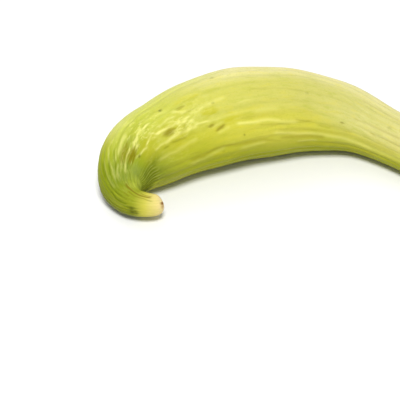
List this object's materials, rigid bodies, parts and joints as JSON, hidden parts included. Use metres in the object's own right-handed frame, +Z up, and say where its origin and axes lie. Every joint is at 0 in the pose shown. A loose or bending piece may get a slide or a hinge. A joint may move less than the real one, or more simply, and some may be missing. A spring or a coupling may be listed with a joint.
{
  "type": "armenian cucumber",
  "caption": "Whole long ribbed cucumber, curved in a crescent, with its stem end curled back in a small hook. It lies on its side.",
  "frame": {"origin": "on the surface the fruit lies on, under the middle of its bounding box", "axes": "+X from the hooked stem end towards the blossom end, +Y from the hollow of the crescent towards its outer side, +Z up from the surface"},
  "size_m": [0.269, 0.1302, 0.0691],
  "materials": {
    "skin": "pale yellow-green skin with a soft gloss"
  },
  "bodies": {
    "root": {"fruit": "skin"}
  },
  "joints": []
}
